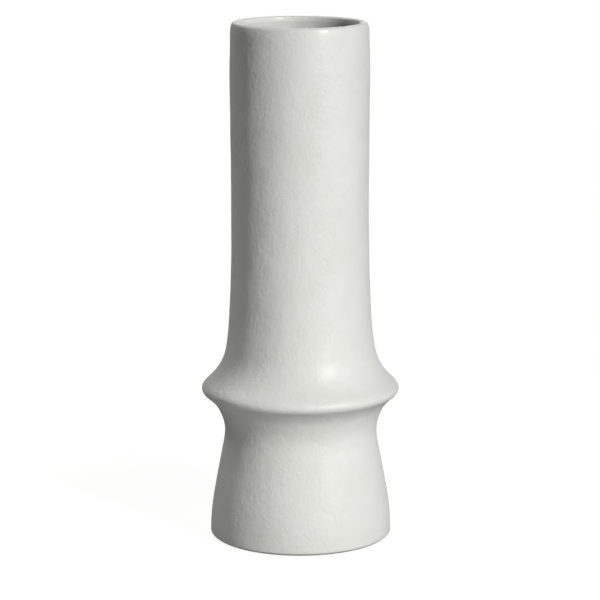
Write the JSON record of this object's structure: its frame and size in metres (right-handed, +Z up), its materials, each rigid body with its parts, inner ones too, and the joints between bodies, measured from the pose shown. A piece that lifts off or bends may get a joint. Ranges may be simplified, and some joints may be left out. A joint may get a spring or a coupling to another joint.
{
  "type": "vase",
  "caption": "Tall round glazed stoneware vase: straight tube with a thick round lip, a skirt flaring down to a collar, a waist and a flared foot; holds cut stems in water.",
  "frame": {"origin": "middle of the standing ring, in the plane that the vase stands on", "axes": "+Z up along the axis of the turned form; the form is round, so X and Y are free"},
  "size_m": [0.1148, 0.1148, 0.3],
  "materials": {
    "stoneware": "bare fired stoneware, fine grog, matt",
    "slip": "fired luting slip, smooth and matt",
    "satin_glaze": "grey-white satin glaze with fine pits and mottling",
    "liner_glaze": "grey-white satin liner glaze"
  },
  "bodies": {
    "root": {"trumpet_section": "stoneware", "foot_section": "stoneware", "floor_disc": "stoneware", "collar_slip": "slip", "floor_slip": "slip", "corner_coil": "stoneware", "outer_glaze": "satin_glaze", "inner_glaze": "liner_glaze"}
  },
  "joints": []
}
